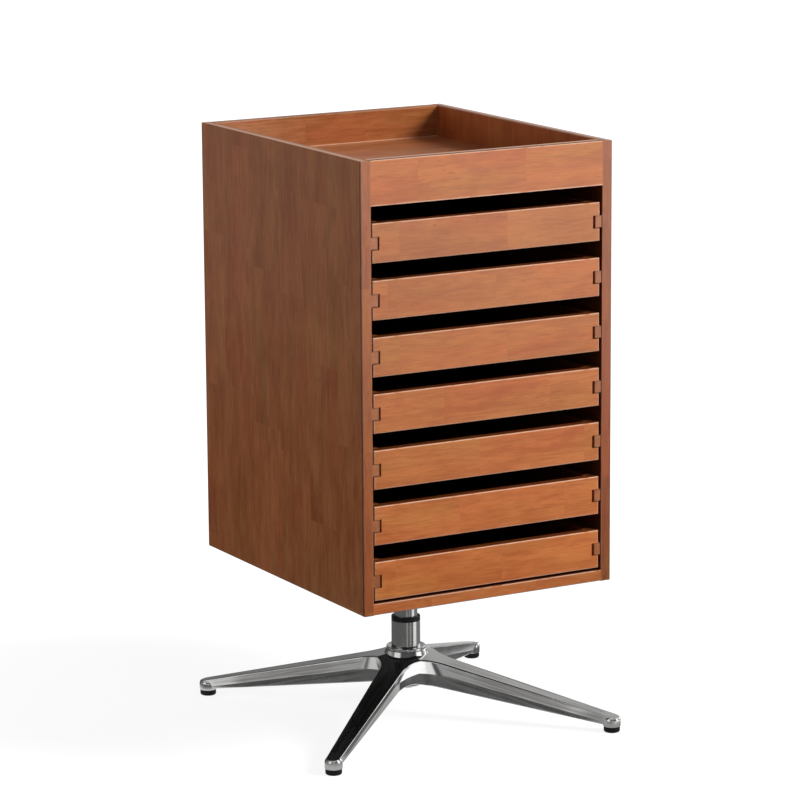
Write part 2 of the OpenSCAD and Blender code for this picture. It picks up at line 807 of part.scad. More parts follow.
// Bearing race: a washer with a round track in the face that meets the balls
module bearing_race(z, track_z) {
    difference() {
        translate([0, 0, z]) ring(race_r, race_bore_r, race_t);
        translate([0, 0, track_z]) rotate_extrude() translate([track_r, 0]) circle(track_round);
    }
}

module bearing_race_lower() {
    color(steel) bearing_race(hub_floor_z, ball_z);
}

module bearing_race_upper() {
    color(steel) bearing_race(upper_race_z, ball_z);
}

module place_balls() {
    for (k = [0:ball_count - 1])
        rotate(360 * k / ball_count)
            translate([track_r, 0, ball_z])
                children();
}

module bearing_balls() {
    color(steel) place_balls() sphere(d = ball_d, $fn = 32);
}

module ball_cage() {
    color(black) difference() {
        translate([0, 0, ball_z - cage_t / 2]) ring(race_r - cage_inset, race_bore_r + cage_inset, cage_t);
        place_balls() translate([0, 0, -cage_t]) cylinder(d = ball_d + 2 * ball_gap, h = 2 * cage_t);
    }
}

module swivel_tube() {
    color(steel)
        translate([0, 0, tube_z])
            ring(swivel_d / 2, swivel_d / 2 - swivel_wall, plate_z - tube_z);
}

// Plug: closes the swivel tube, rests on the bearing and runs through the web
module spindle_plug() {
    color(steel) difference() {
        union() {
            translate([0, 0, plug_z]) cylinder(d = swivel_d, h = plug_shoulder);
            translate([0, 0, tube_z - past])
                cylinder(r = swivel_d / 2 - swivel_wall - seat_gap, h = plug_len + past);
            translate([0, 0, stub_z]) cylinder(d = stub_d, h = plug_z + past - stub_z);
        }
        translate([0, 0, circlip_z - seat_gap])
            ring(stub_d, stub_d / 2 - circlip_groove, circlip_t + seat_gap);
    }
}

module retaining_washer() {
    color(steel)
        translate([0, 0, washer_z])
            ring(washer_d / 2, stub_d / 2 + seat_gap, washer_t);
}

// Retaining ring with its gap, sprung into the stub's groove
module circlip() {
    inner_r = stub_d / 2 - circlip_groove + seat_gap;
    color(steel) translate([0, 0, circlip_z]) difference() {
        ring(inner_r + circlip_w, inner_r, circlip_t);
        translate([0, -circlip_w / 2, -past]) cube([stub_d, circlip_w, circlip_t + 2 * past]);
    }
}

module mounting_plate() {
    color(black) difference() {
        translate([-plate_w / 2, -plate_w / 2, plate_z])
            linear_extrude(plate_t) rounded_rect(plate_w, plate_w, plate_round);
        for (x = [-1, 1], y = [-1, 1])
            translate([x * plate_screw_at, y * plate_screw_at, plate_z - past])
                cylinder(d = plate_screw_d + plate_hole_gap, h = plate_t + 2 * past);
    }
}

module plate_screws() {
    color(steel)
        for (x = [-1, 1], y = [-1, 1])
            translate([x * plate_screw_at, y * plate_screw_at, plate_z - plate_head_h])
                rotate_extrude($fn = 48)
                    polygon([
                        [0, 0], [plate_screw_d * head_flat, 0], [plate_screw_d, plate_head_h / 2],
                        [plate_screw_d, plate_head_h], [plate_screw_d / 2, plate_head_h],
                        [plate_screw_d / 2, plate_head_h + plate_t + plate_screw_in],
                        [0, plate_head_h + plate_t + plate_screw_in]
                    ]);
}

side_panel(-1);  // side_panel_left
side_panel(1);  // side_panel_right
bottom_panel();
back_panel();
front_rail();
top_tray_floor();
runners(1);  // runners_1
runners(2);  // runners_2
runners(3);  // runners_3
runners(4);  // runners_4
runners(5);  // runners_5
runners(6);  // runners_6
runners(7);  // runners_7
runner_screws();
carcass_dowels();
tray_front(1);  // tray_front_1
tray_front(2);  // tray_front_2
tray_front(3);  // tray_front_3
tray_front(4);  // tray_front_4
tray_front(5);  // tray_front_5
tray_front(6);  // tray_front_6
tray_front(7);  // tray_front_7
tray_sides(1);  // tray_sides_1
tray_sides(2);  // tray_sides_2
tray_sides(3);  // tray_sides_3
tray_sides(4);  // tray_sides_4
tray_sides(5);  // tray_sides_5
tray_sides(6);  // tray_sides_6
tray_sides(7);  // tray_sides_7
tray_back(1);  // tray_back_1
tray_back(2);  // tray_back_2
tray_back(3);  // tray_back_3
tray_back(4);  // tray_back_4
tray_back(5);  // tray_back_5
tray_back(6);  // tray_back_6
tray_back(7);  // tray_back_7
tray_bottom(1);  // tray_bottom_1
tray_bottom(2);  // tray_bottom_2
tray_bottom(3);  // tray_bottom_3
tray_bottom(4);  // tray_bottom_4
tray_bottom(5);  // tray_bottom_5
tray_bottom(6);  // tray_bottom_6
tray_bottom(7);  // tray_bottom_7
mounting_plate();
plate_screws();
swivel_tube();
spindle_plug();
bearing_race_upper();
retaining_washer();
circlip();
base_casting();
column_tube();
column_flange();
upper_bush();
lower_bush();
bearing_race_lower();
bearing_balls();
ball_cage();
glide_pads();
glide_studs();
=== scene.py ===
"""Rotary filing cabinet: looks of the wooden case, its seven trays, the column and the cast base."""

import math

import bmesh
import bpy
import numpy as np
from mathutils import Matrix, Vector


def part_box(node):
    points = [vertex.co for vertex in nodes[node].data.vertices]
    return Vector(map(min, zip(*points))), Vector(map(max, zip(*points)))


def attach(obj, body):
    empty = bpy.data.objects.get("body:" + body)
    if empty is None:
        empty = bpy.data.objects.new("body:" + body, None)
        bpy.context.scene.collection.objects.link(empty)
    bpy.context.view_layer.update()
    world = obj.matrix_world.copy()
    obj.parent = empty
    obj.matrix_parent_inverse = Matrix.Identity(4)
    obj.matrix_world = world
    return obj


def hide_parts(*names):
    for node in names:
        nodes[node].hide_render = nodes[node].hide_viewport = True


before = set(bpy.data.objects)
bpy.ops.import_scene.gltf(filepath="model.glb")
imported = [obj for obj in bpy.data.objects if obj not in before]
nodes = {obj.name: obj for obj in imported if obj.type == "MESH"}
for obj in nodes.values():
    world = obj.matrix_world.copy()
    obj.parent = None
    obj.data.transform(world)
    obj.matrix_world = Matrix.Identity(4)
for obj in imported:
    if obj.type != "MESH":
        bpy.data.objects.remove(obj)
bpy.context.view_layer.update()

MM = 0.001
LEVELS = 7
FEET = 4

# Step in height from one tray to the next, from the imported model
tray_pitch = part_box("tray_front_1")[0].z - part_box("tray_front_2")[0].z

# Sizes of the cast base that no box of a node gives (the part's own driving sizes)
ARM_TURN = math.radians(41.5)
FOOT_CIRCLE = 311 * MM
ROOT = 60 * MM
ARM_TOP_W = (36.6 * MM, 20.6 * MM)
ARM_TOP_Z = (84.1 * MM, 24.4 * MM)
SKIRT_W = (20 * MM, 17.6 * MM)
SKIRT_H = (20.5 * MM, 11.6 * MM)
KEEL_W = (10.2 * MM, 17.2 * MM)
KEEL_Z = (42.1 * MM, 9.7 * MM)
CROTCH_TOP = 46.5 * MM
CROTCH_SKIRT = 44 * MM
CROTCH_KEEL = 25 * MM
ARM_SLOPE = (ARM_TOP_Z[0] - ARM_TOP_Z[1]) / (FOOT_CIRCLE - ROOT)
TOP_EDGE_ROUND = 2 * MM
SKIRT_EDGE_ROUND = 0.8 * MM
KEEL_EDGE_ROUND = 1.6 * MM


# ---------------------------------------------------------------- meshes

def grid_faces(rows, columns, close_rows=False, close_columns=False):
    """Quads between neighbouring points of a grid numbered row by row."""
    r = np.arange(rows if close_rows else rows - 1)[:, None]
    c = np.arange(columns if close_columns else columns - 1)[None, :]
    next_r, next_c = (r + 1) % rows, (c + 1) % columns
    quads = [r * columns + c, r * columns + next_c, next_r * columns + next_c, next_r * columns + c]
    return np.stack(np.broadcast_arrays(*quads), -1).reshape(-1, 4)


def shell(grid, close_rows=False, close_columns=False):
    """A grid of points (rows, columns, 3) as (points, faces)."""
    rows, columns = grid.shape[:2]
    return grid.reshape(-1, 3), grid_faces(rows, columns, close_rows, close_columns)


def piece(name, shells, finish, body, replaces=()):
    """One object at the origin from several shells: doubles merged, faces turned outwards, creases kept."""
    crease_deg = 15.0
    points, faces, start = [], [], 0
    for shell_points, shell_faces in shells:
        points.append(shell_points)
        faces.append(shell_faces + start)
        start += len(shell_points)
    mesh = bpy.data.meshes.new(name)
    mesh.from_pydata(np.concatenate(points).tolist(), [], np.concatenate(faces).tolist())
    work = bmesh.new()
    work.from_mesh(mesh)
    bmesh.ops.remove_doubles(work, verts=work.verts, dist=0.001 * MM)
    bmesh.ops.recalc_face_normals(work, faces=work.faces)
    work.to_mesh(mesh)
    work.free()
    mesh.shade_smooth()
    mesh.set_sharp_from_angle(angle=math.radians(crease_deg))
    mesh.materials.append(finish)
    made = bpy.data.objects.new(name, mesh)
    bpy.context.scene.collection.objects.link(made)
    even = made.modifiers.new("even_shading", "WEIGHTED_NORMAL")
    even.keep_sharp = True
    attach(made, body)
    if replaces:
        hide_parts(*replaces)
    return made


def arc(centre, radius, start_deg, end_deg, steps):
    """Points of an arc in a plane: centre + radius * (cos a, sin a), a from start to end."""
    a = np.radians(np.linspace(start_deg, end_deg, steps + 1))
    return np.stack([centre[0] + radius * np.cos(a), centre[1] + radius * np.sin(a)], -1)


def revolve(profile, steps=96):
    """Closed profile of (r, z) turned about Z: (r cos a, r sin a, z)."""
    a = np.linspace(0, 2 * math.pi, steps, endpoint=False)[:, None]
    r, z = profile[:, 0][None, :], profile[:, 1][None, :]
    grid = np.stack(np.broadcast_arrays(r * np.cos(a), r * np.sin(a), z), -1)
    return shell(grid, close_rows=True, close_columns=True)


def turned(points, angle):
    """Points turned about Z by an angle."""
    c, s = math.cos(angle), math.sin(angle)
    return points @ np.array([[c, s, 0], [-s, c, 0], [0, 0, 1]])


def at_each_foot(shells, distance):
    """Copies of shells moved out along X and turned to each of the four arms."""
    out = np.array([distance, 0.0, 0.0])
    return [
        (turned(points + out, ARM_TURN + k * math.pi / 2), faces)
        for k in range(FEET) for points, faces in shells
    ]


# ---------------------------------------------------------------- cast base

def along(sizes, x):
    """Size at a distance x from the axis, in a straight line from the root to the foot."""
    return sizes[0] + (sizes[1] - sizes[0]) * (x - ROOT) / (FOOT_CIRCLE - ROOT)


def half_edge_line(widths, crotch, drop, heights, crotch_steps=24, edge_steps=24, nose_steps=20):
    """One edge line of an arm from a crotch to the nose: an arc tangent to the straight edge,
    the edge itself, and a round nose. Heights follow the arm's slope, less a drop."""
    at_axis = along(widths, 0) / 2
    taper = math.atan((at_axis - along(widths, FOOT_CIRCLE) / 2) / FOOT_CIRCLE)
    corner = at_axis / (math.sin(math.pi / 4) + math.tan(taper) * math.cos(math.pi / 4))
    round_r = (crotch - corner) / (1 / math.sin(math.pi / 4 + taper) - 1)
    middle = (crotch + round_r) * math.cos(math.pi / 4)
    bend = arc((middle, middle), round_r, 225, 270 - math.degrees(taper), crotch_steps)
    x = np.linspace(bend[-1, 0], FOOT_CIRCLE, edge_steps + 1)[1:]
    edge = np.stack([x, along(widths, x) / 2], -1)
    nose = arc((FOOT_CIRCLE, 0), along(widths, FOOT_CIRCLE) / 2, 90, 0, nose_steps)[1:]
    line = np.concatenate([bend, edge, nose])
    z = along(heights, line[:, 0]) - drop
    return np.column_stack([line, z])


def star_line(widths, crotch, drop, heights):
    """The whole closed edge line of the star, four arms one after the other."""
    half = half_edge_line(widths, crotch, drop, heights)
    mirrored = half * np.array([1, -1, 1])
    arm = np.concatenate([mirrored, half[-2:0:-1]])
    return np.concatenate([turned(arm, ARM_TURN + k * math.pi / 2) for k in range(FEET)])


def star_shell(lines, low_z, high_z):
    """Bands between edge lines, closed by fans to a point on the axis below and one above."""
    count = len(lines[0])
    low, high = (np.tile([0, 0, z], (count, 1)) for z in (low_z, high_z))
    return shell(np.stack([low, *lines, high]), close_columns=True)


def arms():
    """The star of four arms: from its underside round the skirt's foot, up the leaning skirt,
    and round the upper edge to the sloping top. Both edges are quarter circles."""
    skirt_z = tuple(z - h for z, h in zip(ARM_TOP_Z, SKIRT_H))
    lines = []
    for a in np.radians(np.linspace(0, 90, 4)):
        inward, lift = SKIRT_EDGE_ROUND * (1 - math.sin(a)), SKIRT_EDGE_ROUND * (1 - math.cos(a))
        widths = tuple(w - 2 * inward for w in SKIRT_W)
        lines.append(star_line(widths, CROTCH_SKIRT - inward, -lift, skirt_z))
    for a in np.radians(np.linspace(0, 90, 9)):
        inward, drop = TOP_EDGE_ROUND * (1 - math.cos(a)), TOP_EDGE_ROUND * (1 - math.sin(a))
        widths = tuple(w - 2 * inward for w in ARM_TOP_W)
        lines.append(star_line(widths, CROTCH_TOP - inward, drop, ARM_TOP_Z))
    return star_shell(lines, along(skirt_z, 0), along(ARM_TOP_Z, 0))


def keels():
    """The ribs under the arms, joined by curved crotches: a rounded lower edge and an upright wall
    that ends a little way up inside the arms."""
    top_z = tuple(z - h + SKIRT_EDGE_ROUND for z, h in zip(ARM_TOP_Z, SKIRT_H))
    lines = []
    for a in np.radians(np.linspace(0, 90, 7)):
        inward, lift = KEEL_EDGE_ROUND * (1 - math.sin(a)), KEEL_EDGE_ROUND * (1 - math.cos(a))
        widths = tuple(w - 2 * inward for w in KEEL_W)
        lines.append(star_line(widths, CROTCH_KEEL - inward, -lift, KEEL_Z))
    lines.append(star_line(KEEL_W, CROTCH_KEEL, 0, top_z))
    return star_shell(lines, along(KEEL_Z, 0), along(top_z, 0))


def foot_boss(boss_low, sides=72):
    """Boss over a foot, a profile for each angle f round it: a softened lower edge, an upright wall, an arc
    a that ends where height z = top - slope * r * cos f cuts it, a rim that is a parabola from the
    arc to the cut, and the cut itself to the middle."""
    wall_r, shoulder_z, bend, soft, rim = 12.6 * MM, 17 * MM, 8.6 * MM, 0.6 * MM, 0.8 * MM
    # The cut lies this much under the arm's own top, so that the two faces never meet
    cut_drop = 0.02 * MM
    top = ARM_TOP_Z[1] - cut_drop
    f = np.linspace(0, 2 * math.pi, sides, endpoint=False)[:, None]
    fall = ARM_SLOPE * np.cos(f)
    bend_r = wall_r - bend
    last = np.arcsin((top - shoulder_z - fall * bend_r) / (bend * np.sqrt(1 + fall ** 2))) - np.arctan(fall)
    a = (last - rim / bend) * np.linspace(0, 1, 10)[None, :]
    bend_line = np.stack([bend_r + bend * np.cos(a), shoulder_z + bend * np.sin(a)], -1)
    corner = np.stack([bend_r + bend * np.cos(last), shoulder_z + bend * np.sin(last)], -1)
    inner_r = corner[..., 0] - rim
    inner = np.stack([inner_r, top - fall * inner_r], -1)
    t = np.linspace(0, 1, 7)[None, 1:, None]
    rim_line = (1 - t) ** 2 * bend_line[:, -1:] + 2 * t * (1 - t) * corner + t ** 2 * inner
    low = arc((wall_r - soft, boss_low + soft), soft, 270, 360, 4)
    low = np.concatenate([[(0, boss_low)], low])[None].repeat(sides, 0)
    middle = np.broadcast_to([0.0, top], (sides, 1, 2))
    profile = np.concatenate([low, bend_line, rim_line, middle], 1)
    r, z = profile[..., 0], profile[..., 1]
    grid = np.stack([r * np.cos(f), r * np.sin(f), z], -1)
    return shell(grid, close_rows=True)


def base_casting(finish):
    """The one-piece casting: arms, keels, hub ring, boss under the hub and a boss over each foot."""
    hub_low, hub_floor, column_r = 66.5 * MM, 72 * MM, 21.05 * MM
    ring_low_r, ring_low_z, ring_r, ring_z, ring_round = 32 * MM, 90 * MM, 29.8 * MM, 98.5 * MM, 1.2 * MM
    boss_r, boss_z, boss_round = 21.5 * MM, 43 * MM, 2 * MM
    pocket_r, pocket_top, stub_hole_r = 16 * MM, 50 * MM, 6.3 * MM
    boss_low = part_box("base_casting")[0].z
    hub_ring = np.concatenate([
        [(column_r, hub_low), (ring_low_r, hub_low), (ring_low_r, ring_low_z)],
        arc((ring_r - ring_round, ring_z - ring_round), ring_round, 15, 90, 8),
        [(column_r, ring_z)],
    ])
    under = np.concatenate([
        [(stub_hole_r, hub_floor), (stub_hole_r, pocket_top), (pocket_r, pocket_top), (pocket_r, boss_z)],
        arc((boss_r - boss_round, boss_z + boss_round), boss_round, 270, 360, 8),
        [(boss_r, hub_floor)],
    ])
    shells = [
        arms(),
        keels(),
        revolve(hub_ring),
        revolve(under),
        *at_each_foot([foot_boss(boss_low)], FOOT_CIRCLE),
    ]
    return piece("cast_star_base", shells, finish, "base", ["base_casting"])


# ---------------------------------------------------------------- finishes

class Wire:
    """A number socket of a finish; arithmetic on it adds Math nodes."""

    def __init__(self, finish, socket):
        self.finish, self.socket = finish, socket

    def math(self, operation, *others):
        """This number and others through one Math node."""
        return self.finish.node("ShaderNodeMath", {"operation": operation}, [self, *others])

    def __add__(self, other):
        return self.math("ADD", other)

    def __sub__(self, other):
        return self.math("SUBTRACT", other)

    def __rsub__(self, other):
        return self.finish.node("ShaderNodeMath", {"operation": "SUBTRACT"}, [other, self])

    def __mul__(self, other):
        return self.math("MULTIPLY", other)

    def __truediv__(self, other):
        return self.math("DIVIDE", other)

    __radd__ = __add__
    __rmul__ = __mul__

    def low(self, other):
        return self.math("MINIMUM", other)

    def high(self, other):
        return self.math("MAXIMUM", other)

    def floor(self):
        return self.math("FLOOR")

    def size(self):
        return self.math("ABSOLUTE")

    def ramp(self, start, end):
        """0 at start, 1 at end, smooth between them."""
        values = {"Value": self, "From Min": start, "From Max": end}
        return self.finish.node("ShaderNodeMapRange", {"interpolation_type": "SMOOTHSTEP"}, values)


class Finish:
    """A node tree being built: of a material, or of the world."""

    def __init__(self, name, tree=None):
        if tree is None:
            self.material = bpy.data.materials.new(name)
            self.material.use_nodes = True
            tree = self.material.node_tree
        self.tree = tree
        self.tree.nodes.clear()

    def node(self, kind, settings=None, inputs=None, output=0):
        """Adds one node: its settings first, then the values or links of its sockets."""
        made = self.tree.nodes.new(kind)
        for key, value in (settings or {}).items():
            setattr(made, key, value)
        pairs = inputs.items() if isinstance(inputs, dict) else enumerate(inputs or [])
        for key, value in pairs:
            socket = made.inputs[key]
            if isinstance(value, Wire):
                self.tree.links.new(value.socket, socket)
            else:
                socket.default_value = value
        return Wire(self, made.outputs[output]) if len(made.outputs) else None

    def mix(self, factor, a, b, blend="MIX"):
        """Colour mix; a and b are colours or wires."""
        settings = {"data_type": "RGBA", "blend_type": blend}
        made = self.node("ShaderNodeMix", settings, {"Factor": factor})
        mix_node = made.socket.node
        for index, value in ((6, a), (7, b)):
            if isinstance(value, Wire):
                self.tree.links.new(value.socket, mix_node.inputs[index])
            else:
                mix_node.inputs[index].default_value = (*value, 1.0)
        return Wire(self, mix_node.outputs[2])

    def grey(self, level, most):
        """A grey as bright as a level, up to the most that is asked for."""
        return self.mix(level * (1 / most), (0.0,) * 3, (most,) * 3)

    def places(self, coordinates="Object"):
        """The three coordinates as number wires."""
        point = self.node("ShaderNodeTexCoord", output=coordinates)
        split = self.node("ShaderNodeSeparateXYZ", None, [point])
        return [Wire(self, s) for s in split.socket.node.outputs]

    def rays(self):
        """1 for rays that the camera sends out itself, and 1 for rays that the metal mirrors."""
        path = self.node("ShaderNodeLightPath").socket.node.outputs
        return Wire(self, path["Is Camera Ray"]), Wire(self, path["Is Glossy Ray"])

    def point(self, x, y, z):
        """Three numbers as one vector."""
        return self.node("ShaderNodeCombineXYZ", None, [x, y, z])

    def noise(self, point, detail=2.0, distortion=0.0):
        """Smooth noise from 0 to 1; the point carries the scale."""
        values = {"Vector": point, "Scale": 1.0, "Detail": detail, "Roughness": 0.5, "Distortion": distortion}
        return self.node("ShaderNodeTexNoise", None, values, "Fac")

    def cells(self, place, size, **kind):
        """Noise that is as fine in all three directions, size cells to a metre."""
        x, y, z = place
        return self.noise(self.point(x * size, y * size, z * size), **kind)

    def chance(self, x, y, z):
        """A random number for each whole-numbered x, y and z."""
        return self.node("ShaderNodeTexWhiteNoise", None, {"Vector": self.point(x, y, z)}, "Value")

    def bump(self, height, strength, distance):
        """Fine relief that only tilts the shading."""
        values = {"Height": height, "Strength": strength, "Distance": distance}
        return self.node("ShaderNodeBump", None, values)

    def surface(self, **sockets):
        """The shader itself and the output; socket names with _ for spaces."""
        values = {key.replace("_", " "): value for key, value in sockets.items()}
        for key, value in values.items():
            if isinstance(value, tuple):
                values[key] = (*value, 1.0)
        shader = self.node("ShaderNodeBsdfPrincipled", None, values)
        self.node("ShaderNodeOutputMaterial", None, {"Surface": shader})
        return self.material


def stained(colour, stain):
    """A colour with each of its parts held back by a stain's."""
    return tuple(c * k for c, k in zip(colour, stain))


# Distances from an edge where the pale edge begins to fade and where it ends, and how much paler it is: wear
# and a painted highlight together
WORN_AND_LIT_BAND = (0.7 * MM, 2.0 * MM)
WORN_AND_LIT_PALER = (0.22, 0.30, 0.28)


def lacquered_wood(name, axes, board, light, dark, stave=0.085, block=0.26, seed=0.0, pitch=None, level_light=None,
                   wear_and_highlight=0.6, gloss=0.40, contrast=1.0, blocks=0.2, coat=0.15, marks=()):
    """Stained boards glued from staves and blocks. axes names the directions along the grain, across it in
    the face, and through the board; board is its box, for the pale edges, which are wear and a painted
    highlight together. pitch is the step of boards that repeat in height, and the two tints for the highest
    and the lowest of them are painted light, the lowest lighter. Each of the marks is a place, found from x,
    y and z, its colour, and how the colour goes on there: MIX covers the grain and MULTIPLY tints it."""
    f = Finish(name)
    x, y, z = f.places()
    low, high = board
    level = 0.0
    if pitch:
        level = ((z - low.z + 0.5 * (pitch - (high.z - low.z))) / pitch).floor()
        z = z - level * pitch
    place = {"x": x, "y": y, "z": z}
    run, across, depth = (place[a] for a in axes)

    row = (across / stave + seed).floor()
    shift = f.chance(row, level, seed)
    column = (run / block + shift * 3.7).floor()
    tone = f.chance(row + 17.0, column, level + seed)
    hue = f.chance(row + 5.0, column + 31.0, level + seed)

    # Each block takes its grain from another place of the pattern
    run = run + tone * 2.3 + level * 0.71
    across = across + hue * 1.9

    def grain(along_grain, over_grain, detail=2.0, distortion=0.0):
        point = f.point(run * along_grain, across * over_grain, depth * over_grain)
        return f.noise(point, detail=detail, distortion=distortion) - 0.5

    band = grain(5.0, 30.0, distortion=0.5)
    figure = grain(13.0, 110.0, 3.0, 1.0)
    streak = grain(32.0, 420.0)
    fibre = grain(70.0, 1100.0, 1.0)
    cloud = grain(16.0, 26.0, 3.0, 0.8)
    warmth = grain(6.0, 24.0) + (hue - 0.5) * blocks
    fleck = grain(75.0, 620.0, 0.0).ramp(0.20, 0.27) * cloud.ramp(-0.05, 0.15)
    vein = grain(14.0, 750.0, 1.0).ramp(0.08, 0.22) * grain(9.0, 45.0).ramp(0.04, 0.16)

    shade = band * 1.1 + figure * 1.0 + streak * 0.9 + fibre * 0.4 + cloud * 0.8 + (tone - 0.5) * blocks
    colour = f.mix((shade * contrast + 0.5).ramp(-0.15, 1.15), dark, light)
    red, olive = (1.05, 0.93, 0.95), (0.97, 1.12, 1.02)
    colour = f.mix((warmth * 2.2).ramp(0.0, 0.6), colour, f.mix(1.0, colour, olive, "MULTIPLY"))
    colour = f.mix((warmth * -2.2).ramp(0.0, 0.6), colour, f.mix(1.0, colour, red, "MULTIPLY"))
    colour = f.mix(fleck * 0.5 + vein * 0.35, colour, stained(dark, (0.55,) * 3))
    # Painted light: the boards go lighter from the highest to the lowest
    if level_light:
        highest, lowest = (f.mix(1.0, colour, tint, "MULTIPLY") for tint in level_light)
        colour = f.mix(level * (-1 / (LEVELS - 1)), highest, lowest)

    # The distance from the nearest edge is the middle one of the distances from the nearest faces
    gaps = [(p - a).low(b - p) for p, a, b in zip((x, y, z), low, high)]
    first, second = gaps[0].low(gaps[1]), gaps[0].high(gaps[1])
    edge = first.high(second.low(gaps[2]))
    # Pale edges: wear, and a painted highlight along them
    worn_and_lit = (1 - edge.ramp(*WORN_AND_LIT_BAND)) * f.cells((x, y, z), 60.0, detail=3.0).ramp(0.2, 0.5)
    pale = tuple(min(1.0, c + k) for c, k in zip(light, WORN_AND_LIT_PALER))
    colour = f.mix(worn_and_lit * wear_and_highlight, colour, pale)
    for place_of, tint, blend in marks:
        colour = f.mix(place_of(x, y, z), colour, tint, blend)

    rough = gloss + figure * 0.15 + fleck * 0.15 + worn_and_lit * 0.05
    height = fleck * -1.0 + fibre * 0.35 + streak * 0.35
    return f.surface(Base_Color=colour, Roughness=rough, Normal=f.bump(height, 0.25, 0.00025), IOR=1.5,
                     Coat_Weight=coat, Coat_Roughness=0.2)


def metal(name, colour, rough, streaks=0.0, wave=0.0, lines=0.0, turned_by=None):
    """Metal with fine polishing streaks, longer grey lines along the piece, small specks and a slight
    waviness of the polished surface. turned_by is the angle of the first of four arms: the pattern then runs
    along each arm and follows its slope, and is calm in the crotches and over the feet."""
    f = Finish(name)
    x, y, z = f.places()
    if turned_by is not None:
        # x runs out along the nearest arm and y across it; two of the arms use a distant part of the pattern
        c, s = math.cos(turned_by), math.sin(turned_by)
        u, v = x * c + y * s, y * c - x * s
        first_arm = u.size().math("GREATER_THAN", v.size())
        x, y = u.size().high(v.size()), u * (1 - first_arm) + v * first_arm + first_arm * 3.0
        z = z + x * ARM_SLOPE
    line = f.noise(f.point(x * 14.0, y * 600.0, z * 600.0), detail=3.0)
    drawn = f.noise(f.point(x * 9.0, y * 260.0, z * 260.0), detail=3.0).ramp(0.40, 0.66)
    haze = f.cells((x, y, z), 35.0, detail=4.0)
    speck = f.cells((x, y, z), 520.0, detail=1.0).ramp(0.72, 0.78)
    swell = f.noise(f.point(x * 7.0, y * 70.0, z * 70.0), detail=2.0)
    if turned_by is not None:
        calm = x.ramp(50 * MM, 85 * MM) * (1 - x.ramp(FOOT_CIRCLE - 15 * MM, FOOT_CIRCLE - 9 * MM))
        line, drawn, swell = (line - 0.5) * calm + 0.5, drawn * calm, (swell - 0.5) * calm + 0.5
    clear = haze.ramp(0.3, 0.7) * 0.3 + line.ramp(0.3, 0.7) * 0.7
    tint = f.mix(clear, stained(colour, (0.78,) * 3), colour)
    tint = f.mix(drawn * lines, tint, stained(colour, (0.42, 0.38, 0.36)))
    tint = f.mix(speck * 0.15, tint, stained(colour, (0.5,) * 3))
    roughness = rough * (0.75 + haze * 0.5) + line * streaks + speck * 0.04
    height = line * 0.15 + swell * wave + drawn * lines * 0.4
    return f.surface(Base_Color=tint, Metallic=1.0, Roughness=roughness, Normal=f.bump(height, 0.3, 0.0002))


def moulded(name, colour, rough, grain=900.0):
    """Moulded plastic or rubber: a fine grain, uneven sheen and a little dust in patches."""
    f = Finish(name)
    fine = f.cells(f.places(), grain)
    cloud = f.cells(f.places(), 40.0, detail=3.0)
    tint = f.mix(cloud.ramp(0.35, 0.8) * 0.4, colour, tuple(c * 1.8 + 0.004 for c in colour))
    roughness = rough + (cloud - 0.5) * 0.2 + (fine - 0.5) * 0.1
    return f.surface(Base_Color=tint, Roughness=roughness, Normal=f.bump(fine, 0.2, 0.0001),
                     Specular_IOR_Level=0.25)


# Colours: stains as they show under plain light, and the colours of painted shade, painted highlights and
# painted light
TEAK_LIGHT = (0.55, 0.174, 0.045)
TEAK_DARK = (0.35, 0.083, 0.0135)
SIDE_LIGHT = (0.44, 0.155, 0.053)
SIDE_DARK = (0.26, 0.069, 0.017)
PALE_BEECH = (0.62, 0.42, 0.24)
# Near black, for the bottom panel's underside
UNDERSIDE_BLACK = (0.003, 0.003, 0.003)
# Painted shade: darkens the faces inside the case and the trays, and the trays' upper edges
INSIDE_SHADE = (0.30, 0.24, 0.20)
# Painted shade: dark lines along the side panels' front corners, the case's lower edge and the runners' ends
SHADE_LINE_BROWN = (0.085, 0.026, 0.011)
LEFT_LIPPING = (0.93, 0.77, 0.54)
RIGHT_LIPPING = (0.75, 0.60, 0.48)
# Darkens a strip along the middle of the rail's upper face
RAIL_STRIP_DARK = (0.22, 0.15, 0.11)
# Painted sheen and highlights on upper faces and edges: a pale one, and a whiter one for the right side panel
EDGE_SHEEN = (0.86, 0.52, 0.34)
EDGE_SHEEN_WHITE = (0.74, 0.62, 0.56)
# Painted light and sheen: makes the left end of the back panel and of the recess's floor paler
LEFT_SHEEN = (1.13, 1.42, 1.95)
# Painted shade: darker, warmer inner walls of the recess
RECESS_SHADE = (0.97, 0.80, 0.62)
# Painted light: tints of the highest and the lowest tray's boards, the lower ones lighter
TRAY_LEVEL_LIGHT = ((0.90, 0.97, 0.98), (1.14, 1.14, 1.12))

side_wood = dict(light=SIDE_LIGHT, dark=SIDE_DARK, stave=0.085, block=0.225, contrast=0.9, wear_and_highlight=0.15)
front_wood = dict(light=TEAK_LIGHT, dark=TEAK_DARK, stave=0.5, block=0.17, contrast=0.95, blocks=0.16,
                  wear_and_highlight=0.85)

# Width of a runner; its node's box spans the case, as it holds the left and the right one
RUNNER_W = 11 * MM

